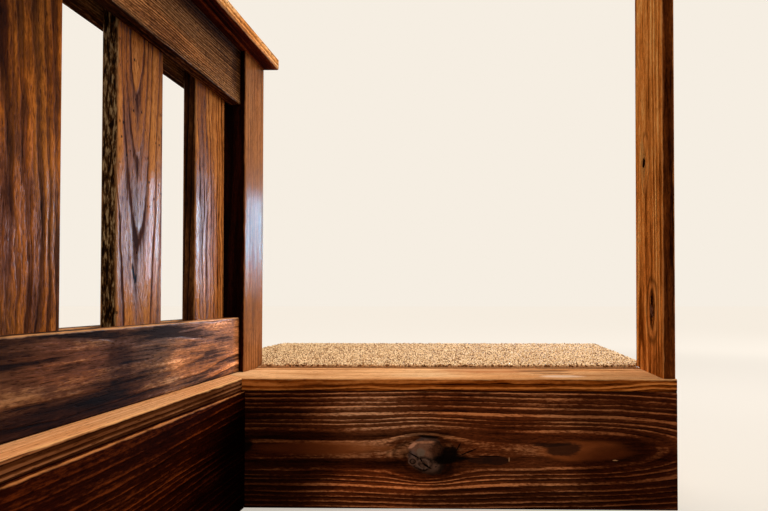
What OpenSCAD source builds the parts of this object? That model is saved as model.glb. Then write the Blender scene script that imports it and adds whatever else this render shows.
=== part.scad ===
/* [Boards] */
// Thickness of the facing, rail, slat and cap boards
board_t = 19; // [15:1:25]
// Width of the step cap, the ledge cap and the cap rail
cap_w = 140; // [125:1:180]
// Height of each rail board
rail_h = 89; // [60:1:140]
// Width of each slat
slat_w = 89; // [60:1:110]
// Radius that eases the long edges of every finished board
ease_r = 2.5; // [1:0.5:4]

/* [Step] */
// Clear width of the entry at the step, from the ledge's edge to the wall
entry_w = 650; // [500:10:1000]
// Height of the riser board
riser_h = 175; // [130:1:220]
// Depth of the deck, from the riser's face to the back rim
deck_d = 560; // [420:10:1200]
// Thickness of the framing timber
joist_t = 38; // [30:1:44]
// Overhang of the facing boards beyond the ledge cap's edge
fascia_lip = 5; // [2:1:8]

/* [Carpet] */
// Thickness of the carpet
carpet_t = 7; // [4:1:14]
// Bare wood in front of the carpet
carpet_from = 120; // [90:1:124]
// Slit between the carpet and each post that it is cut round
carpet_slit = 1; // [0.5:0.5:3]

/* [Guard] */
// Clear length between the two guard posts
guard_l = 970; // [800:10:1600]
// Height from the ledge to the underside of the cap rail
guard_h = 526; // [400:1:900]
// Side of the square guard posts
newel_w = 75; // [66:1:89]
// From the riser's face back to the corner post
newel_setback = 68; // [40:1:90]
// From the ledge's edge to the face of the posts
newel_reveal = 26; // [10:1:34]
// Space between each post and the slat beside it
end_gap = 14; // [5:1:40]

/* [Wall post] */
// Width of the flat post against the wall
wall_post_w = 140; // [90:1:180]
// Height of the wall post above the step
wall_post_h = 840; // [600:10:1400]
// From the riser's face back to the wall post
wall_post_setback = 5; // [2:1:30]

/* [Hidden] */
$fn = 32;
SLATS = 6;

// Colours of the stained timber, the raw framing timber and the carpet
stain = [0.36, 0.21, 0.12];
stain_light = [0.50, 0.30, 0.16];
raw_pine = [0.78, 0.63, 0.43];
beige = [0.74, 0.62, 0.45];

// Overall width and depth: the origin is the middle of the footprint, on the floor
total_w = entry_w + cap_w + fascia_lip;
ledge_l = guard_l + 2 * newel_w + newel_reveal - (newel_setback + newel_w);
total_d = ledge_l + fascia_lip + deck_d;

// Across: the wall, the ledge's inner and outer edges and the facing boards
x_wall = total_w / 2;
x_edge = x_wall - entry_w;
x_outer = x_edge - cap_w;
x_fascia_in = x_edge + fascia_lip - board_t;
x_fascia_out = x_outer - fascia_lip + board_t;
x_newel = x_edge - newel_reveal - newel_w;
x_rails = x_newel + (newel_w - 3 * board_t) / 2;

// Along: the riser's face, the back of the deck and the near end of the ledge
y_back = total_d / 2;
y_riser = y_back - deck_d;
y_near = y_riser - ledge_l;
y_front_rim = y_riser + board_t;
y_deck_frame = y_front_rim + joist_t;
y_corner_newel = y_riser + newel_setback;
y_end_newel = y_corner_newel - guard_l - newel_w;

// Up: the step's top, the rails and the cap rail
z_step = riser_h + board_t;
z_top_rail = z_step + guard_h - rail_h;
z_cap_rail = z_step + guard_h;

slat_pitch = (guard_l - 2 * end_gap - slat_w) / (SLATS - 1);
block_l = joist_t;

// A rectangle with its four corners rounded, from the origin
module eased_rect(a, b, r = ease_r) {
    translate([r, 0]) square([a - 2 * r, b]);
    translate([0, r]) square([a, b - 2 * r]);
    for (x = [r, a - r], y = [r, b - r]) translate([x, y]) circle(r);
}

// Boards from low corner to size, with the edges along X, Y or Z eased
module board_x(low, size) {
    translate(low) rotate([90, 0, 90]) linear_extrude(size.x) eased_rect(size.y, size.z);
}

module board_y(low, size) {
    translate([low.x, low.y + size.y, low.z]) rotate([90, 0, 0]) linear_extrude(size.y) eased_rect(size.x, size.z);
}

module board_z(low, size) {
    translate(low) linear_extrude(size.z) eased_rect(size.x, size.y);
}

// Framing timber, sawn square
module timber(low, size) {
    translate(low) cube(size);
}

// The riser, from behind the ledge's facing to the wall
module riser_board() {
    color(stain)
        board_x([x_fascia_in, y_riser, 0], [x_wall - x_fascia_in, board_t, riser_h]);
}

// The half plane on the step's side of the mitre between the two caps
module mitre_side() {
    far = total_w + total_d;
    translate([x_edge, y_riser, riser_h - board_t])
        linear_extrude(3 * board_t)
            polygon([[0, 0], [-far, far], [far, far], [far, -far], [0, -far]]);
}

// Cap of the step, mitred to the ledge cap at the inside corner
module riser_cap() {
    color(stain_light)
        intersection() {
            board_x([x_outer, y_riser, riser_h], [x_wall - x_outer, cap_w, board_t]);
            mitre_side();
        }
}

// Cap of the ledge, under the guard
module ledge_cap() {
    color(stain_light)
        difference() {
            board_y([x_outer, y_near, riser_h], [cap_w, ledge_l + cap_w, board_t]);
            mitre_side();
        }
}

// Facing boards of the ledge: towards the entry, towards the room and across its end
module ledge_fascia() {
    y_low = y_near - fascia_lip;
    color(stain) board_y([x_fascia_in, y_low, 0], [board_t, y_riser - y_low, riser_h]);
}

module outer_fascia() {
    y_low = y_near - fascia_lip;
    color(stain) board_y([x_fascia_out - board_t, y_low, 0], [board_t, y_back - y_low, riser_h]);
}

module end_fascia() {
    color(stain)
        board_x([x_fascia_out, y_near - fascia_lip, 0], [x_fascia_in - x_fascia_out, board_t, riser_h]);
}

// Framing inside the ledge
module ledge_joist(x) {
    y_low = y_near - fascia_lip + board_t;
    color(raw_pine) timber([x, y_low, 0], [joist_t, y_front_rim - y_low, riser_h]);
}

module ledge_blocks() {
    x_low = x_fascia_out + joist_t;
    x_high = x_fascia_in - joist_t;
    y_low = y_near - fascia_lip + board_t;
    y_high = y_front_rim - block_l;
    color(raw_pine)
        for (y = [y_low, (y_low + y_high) / 2, y_high])
            timber([x_low, y, 0], [x_high - x_low, block_l, riser_h]);
}

// Framing of the deck
module deck_rim(y) {
    color(raw_pine) timber([x_fascia_out, y, 0], [x_wall - x_fascia_out, joist_t, riser_h]);
}

module side_rim(x) {
    color(raw_pine) timber([x, y_deck_frame, 0], [joist_t, y_back - joist_t - y_deck_frame, riser_h]);
}

module mid_joist() {
    x_low = x_fascia_out + joist_t;
    x_high = x_wall - joist_t;
    y_mid = (y_deck_frame + y_back - joist_t) / 2;
    color(raw_pine) timber([x_low, y_mid - joist_t / 2, 0], [x_high - x_low, joist_t, riser_h]);
}

// Floor panel, flush with the two caps
module deck_panel() {
    y_low = y_riser + cap_w;
    color(raw_pine) timber([x_outer, y_low, riser_h], [x_wall - x_outer, y_back - y_low, board_t]);
}

// Carpet over the panel and the back of the step's cap, cut round both posts
module carpet() {
    y_low = y_riser + carpet_from;
    color(beige)
        translate([0, 0, z_step])
            linear_extrude(carpet_t)
                difference() {
                    translate([x_outer, y_low]) square([x_wall - x_outer, y_back - y_low]);
                    translate([x_newel - carpet_slit, y_low - 1])
                        square([
                            newel_w + 2 * carpet_slit,
                            y_corner_newel + newel_w + carpet_slit - y_low + 1
                        ]);
                    translate([x_wall - board_t - carpet_slit, y_low - 1])
                        square([
                            board_t + 2 * carpet_slit,
                            y_riser + wall_post_setback + wall_post_w + carpet_slit - y_low + 1
                        ]);
                }
}

// Flat post on the step against the wall
module wall_post() {
    color(stain_light)
        board_z(
            [x_wall - board_t, y_riser + wall_post_setback, z_step],
            [board_t, wall_post_w, wall_post_h]
        );
}

// Square guard post on the ledge
module newel(y) {
    color(stain) board_z([x_newel, y, z_step], [newel_w, newel_w, guard_h]);
}

// Cap rail over the guard, flush with the ledge's edges and with both posts' ends
module cap_rail() {
    color(stain_light)
        board_y([x_outer, y_end_newel, z_cap_rail], [cap_w, guard_l + 2 * newel_w, board_t]);
}

// One rail board between the posts; layer 0 is the outer one, 2 the inner one
module rail_board(layer, z) {
    color(stain)
        board_y(
            [x_rails + layer * board_t, y_end_newel + newel_w, z],
            [board_t, guard_l, rail_h]
        );
}

// One slat, held between the inner and outer rail boards; number 1 is next to the corner post
module slat(number) {
    y = y_corner_newel - end_gap - slat_w - (number - 1) * slat_pitch;
    color(stain) board_z([x_rails + board_t, y, z_step], [board_t, slat_w, guard_h]);
}

riser_board();
riser_cap();
deck_rim(y_front_rim);  // front_rim
deck_rim(y_back - joist_t);  // back_rim
side_rim(x_fascia_out);  // left_rim
side_rim(x_wall - joist_t);  // right_rim
mid_joist();
deck_panel();
carpet();
wall_post();
newel(y_corner_newel);  // corner_newel
newel(y_end_newel);  // end_newel
cap_rail();
rail_board(2, z_top_rail);  // top_rail_inner
rail_board(0, z_top_rail);  // top_rail_outer
rail_board(2, z_step);  // bottom_rail_inner
rail_board(0, z_step);  // bottom_rail_outer
slat(1);  // slat_1
slat(2);  // slat_2
slat(3);  // slat_3
slat(4);  // slat_4
slat(5);  // slat_5
slat(6);  // slat_6
ledge_cap();
ledge_fascia();
outer_fascia();
end_fascia();
ledge_joist(x_fascia_in - joist_t);  // ledge_joist_inner
ledge_joist(x_fascia_out);  // ledge_joist_outer
ledge_blocks();
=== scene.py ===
"""Looks of the loft entry: stained boards, raw framing timber, a tufted carpet and a pale studio."""

import logging
import math
from dataclasses import dataclass
from enum import Enum
from functools import cached_property

import bpy
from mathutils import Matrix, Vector


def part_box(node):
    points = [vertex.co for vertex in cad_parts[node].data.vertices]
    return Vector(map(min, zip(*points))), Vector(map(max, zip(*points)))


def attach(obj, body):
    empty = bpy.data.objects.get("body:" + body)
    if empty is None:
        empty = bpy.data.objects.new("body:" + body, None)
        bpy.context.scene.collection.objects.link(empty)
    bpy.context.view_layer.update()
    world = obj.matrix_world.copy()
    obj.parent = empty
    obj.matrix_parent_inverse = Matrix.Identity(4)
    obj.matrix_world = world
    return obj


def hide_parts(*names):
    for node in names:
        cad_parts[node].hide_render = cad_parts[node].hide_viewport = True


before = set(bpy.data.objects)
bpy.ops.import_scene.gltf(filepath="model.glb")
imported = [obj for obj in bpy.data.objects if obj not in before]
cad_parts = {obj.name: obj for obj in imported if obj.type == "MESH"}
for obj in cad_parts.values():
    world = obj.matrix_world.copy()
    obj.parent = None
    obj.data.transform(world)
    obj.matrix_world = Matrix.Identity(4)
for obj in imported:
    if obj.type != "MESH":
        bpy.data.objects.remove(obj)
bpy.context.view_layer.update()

log = logging.getLogger("loft_entry")

MM = 0.001
BODY = "root"

Node = bpy.types.Node
Socket = bpy.types.NodeSocket
Material = bpy.types.Material
World = bpy.types.World
Piece = bpy.types.Object
Value = float | Socket
Colour = tuple[float, float, float, float]


class Axis(Enum):
    """A direction of the frame, by its place in a vector."""

    X = 0
    Y = 1
    Z = 2


class Slot(Enum):
    """A material slot's name for the carpet; nothing in this script uses it."""

    CARPET = "carpet"


class Finish(Enum):
    """How a board is finished, as its material's name says."""

    STAINED = "stained"
    RAW = "raw"


def srgb(red: int, green: int, blue: int) -> Colour:
    """A colour as it looks on a screen, made linear.

    Args:
        red: Red, from 0 to 255.
        green: Green, from 0 to 255.
        blue: Blue, from 0 to 255.

    Returns:
        The linear colour with full alpha.
    """

    def linear(level: int) -> float:
        part = level / 255
        return part / 12.92 if part <= 0.04045 else ((part + 0.055) / 1.055) ** 2.4

    return linear(red), linear(green), linear(blue), 1.0


class NodeSheet:
    """The node sheet of a material or a world, to which nodes are added and linked one by one."""

    def __init__(self, owner: Material | World) -> None:
        """Empties the owner's sheet.

        Args:
            owner: The material or world.
        """
        owner.use_nodes = True
        self.owner = owner
        self.tree = owner.node_tree
        self.tree.nodes.clear()

    def add(self, kind: str, **settings: object) -> Node:
        """Adds one node.

        Args:
            kind: The node's type, without its ShaderNode start.
            **settings: Settings of the node, by name.

        Returns:
            The new node.
        """
        node = self.tree.nodes.new("ShaderNode" + kind)
        for name, value in settings.items():
            setattr(node, name, value)
        return node

    def feed(self, socket: Socket, value: Value | Colour) -> None:
        """Links a socket to an input, or sets the input to a plain value.

        Args:
            socket: The input.
            value: An output socket, a number or a colour.
        """
        if isinstance(value, Socket):
            self.tree.links.new(value, socket)
        else:
            socket.default_value = value

    def math(self, operation: str, *values: Value, clamp: bool = False) -> Socket:
        """Adds a Math node.

        Args:
            operation: The operation's name.
            *values: One to three numbers or sockets.
            clamp: Whether the result is held between 0 and 1.

        Returns:
            The result's socket.
        """
        node = self.add("Math", operation=operation, use_clamp=clamp)
        for place, value in enumerate(values):
            self.feed(node.inputs[place], value)
        return node.outputs[0]

    def times(self, first: Value, second: Value) -> Socket:
        """Multiplies two numbers."""
        return self.math("MULTIPLY", first, second)

    def plus(self, first: Value, second: Value) -> Socket:
        """Adds two numbers."""
        return self.math("ADD", first, second)

    def minus(self, first: Value, second: Value) -> Socket:
        """Takes the second number from the first."""
        return self.math("SUBTRACT", first, second)

    def scaled(self, value: Value, factor: Value, start: Value) -> Socket:
        """Multiplies a number by a factor and adds it to a start."""
        return self.math("MULTIPLY_ADD", value, factor, start)

    def swing(self, noise: Socket, reach: float) -> Socket:
        """Turns noise into a length between minus reach and reach."""
        return self.scaled(noise, 2 * reach, -reach)

    def vector(self, x: Value, y: Value, z: Value) -> Socket:
        """Joins three numbers into a vector."""
        node = self.add("CombineXYZ")
        for place, value in enumerate((x, y, z)):
            self.feed(node.inputs[place], value)
        return node.outputs[0]

    def split(self, vector: Socket) -> bpy.types.NodeOutputs:
        """Parts a vector into its three numbers."""
        node = self.add("SeparateXYZ")
        self.feed(node.inputs[0], vector)
        return node.outputs

    def noise(self, vector: Socket, scale: float, detail: float, roughness: float = 0.5) -> Socket:
        """Adds a noise texture.

        Args:
            vector: Where the noise is read.
            scale: Its scale.
            detail: Its octaves.
            roughness: The weight of the finer octaves.

        Returns:
            The noise, about 0.5 on average.
        """
        node = self.add("TexNoise")
        self.feed(node.inputs["Vector"], vector)
        for name, value in (("Scale", scale), ("Detail", detail), ("Roughness", roughness)):
            node.inputs[name].default_value = value
        return node.outputs["Fac"]

    def remap(
        self, value: Value, low: Value, high: Value, to_low: Value = 0.0, to_high: Value = 1.0
    ) -> Socket:
        """Maps a range smoothly to another one.

        Args:
            value: The number to map.
            low: Where the range starts.
            high: Where the range ends.
            to_low: The result at low.
            to_high: The result at high.

        Returns:
            The mapped number.
        """
        node = self.add("MapRange", interpolation_type="SMOOTHSTEP")
        for place, number in enumerate((value, low, high, to_low, to_high)):
            self.feed(node.inputs[place], number)
        return node.outputs[0]

    def mix(self, factor: Value, first: Value | Colour, second: Value | Colour, blend: str = "MIX") -> Socket:
        """Mixes two colours.

        Args:
            factor: The second colour's share.
            first: The first colour.
            second: The second colour.
            blend: The blend mode's name.

        Returns:
            The mixed colour.
        """
        node = self.add("Mix", data_type="RGBA", blend_type=blend)
        self.feed(node.inputs[0], factor)
        self.feed(node.inputs[6], first)
        self.feed(node.inputs[7], second)
        return node.outputs[2]

    def ramp(self, factor: Socket, stops: tuple[tuple[float, Colour], ...]) -> Socket:
        """Adds a colour ramp.

        Args:
            factor: The place on the ramp.
            stops: Places and colours, in order.

        Returns:
            The colour.
        """
        node = self.add("ValToRGB")
        elements = node.color_ramp.elements
        while len(elements) < len(stops):
            elements.new(0.5)
        for element, (place, colour) in zip(elements, stops):
            element.position = place
            element.color = colour
        self.feed(node.inputs[0], factor)
        return node.outputs[0]

    def surface(self, colour: Value | Colour, roughness: Value, gloss: float = 0.5) -> Node:
        """Adds the shader.

        Args:
            colour: Its colour.
            roughness: Its roughness.
            gloss: Its specular level.

        Returns:
            The shader's node.
        """
        shader = self.add("BsdfPrincipled")
        self.feed(shader.inputs["Base Color"], colour)
        self.feed(shader.inputs["Roughness"], roughness)
        shader.inputs["Specular IOR Level"].default_value = gloss
        return shader

    def emboss(self, shader: Node, height: Socket, reach: float, strength: float = 1.0) -> None:
        """Gives a shader a relief.

        Args:
            shader: The shader's node.
            height: The relief's height.
            reach: The height in metres that a height of 1 stands for.
            strength: The relief's strength.
        """
        bump = self.add("Bump")
        bump.inputs["Strength"].default_value = strength
        bump.inputs["Distance"].default_value = reach
        self.feed(bump.inputs["Height"], height)
        self.feed(shader.inputs["Normal"], bump.outputs[0])

    def seen(self) -> Socket:
        """Tells rays that show a surface from rays that only light it."""
        path = self.add("LightPath").outputs
        shown = self.math("MAXIMUM", path["Is Camera Ray"], path["Is Glossy Ray"])
        return self.math("MAXIMUM", shown, path["Is Transmission Ray"])

    def close(self, shader: Node) -> Material | World:
        """Links a shader to the output.

        Args:
            shader: The shader's node.

        Returns:
            The finished material or world.
        """
        out = self.add("OutputWorld" if isinstance(self.owner, World) else "OutputMaterial")
        self.tree.links.new(shader.outputs[0], out.inputs["Surface"])
        return self.owner


def new_sheet(name: str) -> NodeSheet:
    """Starts a material with an empty sheet."""
    return NodeSheet(bpy.data.materials.new(name))


@dataclass(frozen=True)
class Knot:
    """A knot, by its place on the board's face from the board's middle, in metres."""

    along: float
    across: float
    radius: float
    halo: float


@dataclass(frozen=True)
class Mark:
    """A streak, pitch pocket, stain or patch of painted light or shade on the board's face, in millimetres
    from its middle.

    A mark in one of the light and shade washes keeps the grain under it and multiplies it by its tone. A
    turned mark slants by so many degrees, and a hollow one is a ring, open up to that share of its reach.
    """

    along: float
    across: float
    length: float
    width: float
    tone: Colour
    ragged: float = 0.5
    strength: float = 0.9
    crisp: float = 0.0
    turn: float = 0.0
    hollow: float = 0.0


@dataclass(frozen=True)
class LitAndWornFace:
    """A face of the board that takes the stain's paler tones: painted light where it faces the lamps, partly
    wear, with chips where it has flecks.
    """

    axis: Axis
    sign: int
    share: float = 1.0
    fleck: float = 0.0


@dataclass(frozen=True)
class Bark:
    """A side of the board that was left rough, with flecks of bark."""

    axis: Axis
    sign: int


@dataclass(frozen=True)
class Figure:
    """How a board was cut from the tree, in metres from the board's middle."""

    seed: int
    face: Axis | None = None
    face_sign: int = 1
    ring: float = 0.0065
    phase: float = 0.0
    pith_across: float = 0.0
    pith_depth: float = 0.04
    slope: float = 0.01
    bend: float = 0.0
    nose_at: float = 0.0
    nose: float = 0.0
    wander: float = 0.004
    ripple: float = 0.0011
    calm: float = 0.0
    knots: tuple[Knot, ...] = ()
    marks: tuple[Mark, ...] = ()
    lit_and_worn: tuple[LitAndWornFace, ...] = ()
    bark: Bark | None = None
    specks: float = 0.0


@dataclass(frozen=True)
class Tones:
    """The colours that a stain gives: in the soft rings, between them and in the hard ones."""

    soft: Colour
    middle: Colour
    hard: Colour


@dataclass(frozen=True)
class Stain:
    """A stain over open-grained softwood: its deep tones, a paler copy painted on the faces that face the
    lamps, partly wear, and the colour of its long edges.
    """

    deep: Tones
    pale: Tones
    # The long edges' colour: pale where it paints highlight and wear, dark on the riser where it paints shade
    # in the seam.
    edge_colour: Colour
    roughness: float = 0.42
    gloss: float = 0.02
    hard_share: float = 0.34
    base: float = 0.16
    contrast: float = 0.8
    streak: float = 0.5
    fibre: float = 0.35
    patch: float = 0.6
    tint: float = 0.35
    relief: float = 0.6
    polish: float = 0.14


PITCH = srgb(9, 3, 1)
SMOKE = srgb(64, 38, 26)
SOOT = srgb(42, 22, 14)
AMBER = srgb(146, 74, 32)
CHIP = srgb(176, 126, 84)
# A wash that lightens the grain: mostly painted light and sheen, in places paler wood.
GLOW = (2.0, 1.8, 1.6, 1.0)
# A bluish wash: painted sheen, a reflection of pale light.
PAINTED_SHEEN = (1.7, 2.3, 3.2, 1.0)
# A wash that darkens the grain: painted shade at board ends, bottoms and corners and under the cap rail, and
# dark smudges in the grain.
SHADE = (0.30, 0.24, 0.20, 1.0)
# A painted highlight, a pale reflection on the step cap's top.
PAINTED_HIGHLIGHT = (1.06, 1.18, 1.32, 1.0)
# The washes that multiply the grain instead of covering it: painted light, sheen, highlight and shade.
LIGHT_AND_SHADE_WASHES = (GLOW, PAINTED_SHEEN, SHADE, PAINTED_HIGHLIGHT)

# Near-black tones: painted shadow on the corner newel's front face, and the newels' darkened end grain.
SHADOW_TONES = Tones(srgb(8, 1, 0), srgb(20, 4, 1), srgb(44, 14, 5))
COFFEE = Tones(srgb(18, 7, 2), srgb(66, 34, 14), srgb(116, 70, 34))
RISER_STAIN = Stain(
    Tones(srgb(28, 7, 1), srgb(104, 50, 22), srgb(216, 138, 86)),
    Tones(srgb(26, 9, 3), srgb(96, 49, 24), srgb(190, 116, 66)),
    # The riser's upper edge is dark: painted shade in the seam under the cap.
    srgb(30, 10, 3),
    roughness=0.46, hard_share=0.25, base=0.22, contrast=0.74, streak=0.4, fibre=0.42, relief=0.8,
)
FACING_STAIN = Stain(
    Tones(srgb(10, 1, 0), srgb(42, 11, 2), srgb(100, 42, 12)),
    Tones(srgb(16, 4, 1), srgb(54, 18, 5), srgb(120, 60, 24)),
    srgb(200, 124, 66),
    gloss=0.002, hard_share=0.2, base=0.28, contrast=0.55, streak=0.36, fibre=0.45,
)
TREAD_STAIN = Stain(
    Tones(srgb(44, 12, 0), srgb(148, 72, 20), srgb(212, 126, 58)),
    Tones(srgb(150, 96, 52), srgb(194, 136, 86), srgb(226, 174, 122)),
    srgb(222, 160, 100),
    roughness=0.5, gloss=0.0, base=0.22, contrast=0.9, streak=0.6, fibre=0.2, patch=0.9, tint=0.2,
)
LEDGE_STAIN = Stain(
    Tones(srgb(44, 18, 6), srgb(96, 52, 26), srgb(142, 90, 54)),
    Tones(srgb(200, 136, 84), srgb(214, 152, 102), srgb(224, 166, 116)),
    srgb(232, 170, 108),
    roughness=0.5, gloss=0.0, base=0.14, contrast=0.85, streak=0.16, fibre=0.08, patch=0.5, tint=0.2,
)
NEWEL_STAIN = Stain(
    SHADOW_TONES,
    Tones(srgb(100, 55, 22), srgb(146, 90, 46), srgb(178, 114, 64)),
    srgb(170, 108, 62),
    roughness=0.17, gloss=0.009, base=0.3, contrast=0.5, streak=0.7, fibre=0.4, tint=0.2,
)
POST_STAIN = Stain(
    Tones(srgb(40, 14, 2), srgb(98, 46, 14), srgb(144, 78, 30)),
    Tones(srgb(112, 56, 14), srgb(230, 142, 64), srgb(252, 194, 116)),
    srgb(206, 130, 70),
    roughness=0.6, gloss=0.0, base=0.22, contrast=0.45, streak=0.6, fibre=0.4, patch=1.1, tint=0.15,
)
SLAT_STAIN = Stain(
    COFFEE,
    Tones(srgb(64, 28, 6), srgb(150, 88, 38), srgb(192, 124, 64)),
    srgb(178, 118, 70),
    roughness=0.26, gloss=0.0145, hard_share=0.6, base=0.11, contrast=0.64, streak=0.6, fibre=0.4,
    patch=0.7, tint=0.15, relief=1.4, polish=0.4,
)
NEAR_SLAT_STAIN = Stain(
    COFFEE,
    Tones(srgb(24, 10, 1), srgb(104, 56, 14), srgb(180, 108, 44)),
    srgb(150, 96, 56),
    roughness=0.27, gloss=0.007, hard_share=0.5, base=0.28, contrast=0.5, streak=0.4, patch=1.25,
    relief=1.2, polish=0.2,
)
TOP_RAIL_STAIN = Stain(
    COFFEE,
    Tones(srgb(50, 26, 10), srgb(112, 72, 38), srgb(160, 112, 70)),
    srgb(176, 120, 76),
    gloss=0.004, hard_share=0.28, base=0.24, contrast=0.85, fibre=0.7, patch=0.7, tint=0.12, relief=0.9,
)
BOTTOM_RAIL_STAIN = Stain(
    COFFEE,
    Tones(srgb(31, 14, 5), srgb(96, 55, 27), srgb(162, 112, 72)),
    srgb(216, 152, 96),
    roughness=0.34, gloss=0.012, base=0.17, contrast=0.45, streak=0.75, fibre=0.4, patch=1.1,
    tint=0.12, relief=0.9, polish=0.12,
)
CAP_RAIL_STAIN = Stain(
    Tones(srgb(24, 7, 2), srgb(72, 26, 8), srgb(140, 66, 26)),
    Tones(srgb(112, 60, 22), srgb(226, 152, 80), srgb(255, 216, 156)),
    srgb(222, 164, 108),
    gloss=0.003, base=0.24, contrast=0.5,
)


@dataclass(frozen=True)
class Weave:
    """Noise drawn out along the grain, in cycles per metre, with an offset that tells it from others."""

    along: float
    across: float
    shift: float
    detail: float = 1.0
    roughness: float = 0.5


LONG_WAVE = Weave(2.4, 7, 0)
SHORT_WAVE = Weave(13, 38, 3)
FINE_WAVE = Weave(48, 170, 6)
DEEP_WAVE = Weave(3, 4, 9)
FIBRE = Weave(130, 460, 5, 2, 0.6)
FEATHER = Weave(12, 260, 8, 2, 0.6)
STREAK = Weave(3.6, 64, 12, 2, 0.6)
PATCH = Weave(7, 19, 17, 3, 0.6)
FADE = Weave(7, 48, 26)
BREAK = Weave(38, 170, 33)
WARMTH = Weave(5, 26, 37, 2)
PORES = Weave(90, 760, 30)
NIBBLE = Weave(30, 120, 21, 3, 0.6)
CHIPS = Weave(90, 260, 71, 3, 0.7)
CRUST = Weave(60, 290, 81, 3, 0.7)
CLUSTERS = Weave(9, 22, 57)
SPECKS = Weave(100, 140, 53)
RAW_FIBRE = Weave(20, 500, 5, 3, 0.6)
RAW_TONE = Weave(4, 16, 12, 2)
SAW_MARKS = Weave(330, 25, 60)

CRACK = srgb(8, 3, 2)
PIN_KNOT = srgb(24, 11, 7)
KNOT_HEART = srgb(108, 76, 60)
RAW_KNOT_PALE = srgb(150, 98, 56)
RAW_KNOT_DARK = srgb(108, 64, 34)
BARK_TONES = ((0.42, srgb(20, 7, 1)), (0.52, srgb(88, 54, 24)), (0.62, srgb(176, 142, 98)))
WARM_WASH = (1.30, 0.92, 0.55, 1.0)
PORE_WASH = (0.34, 0.26, 0.20, 1.0)
RELIEF = 1.0 * MM


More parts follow.
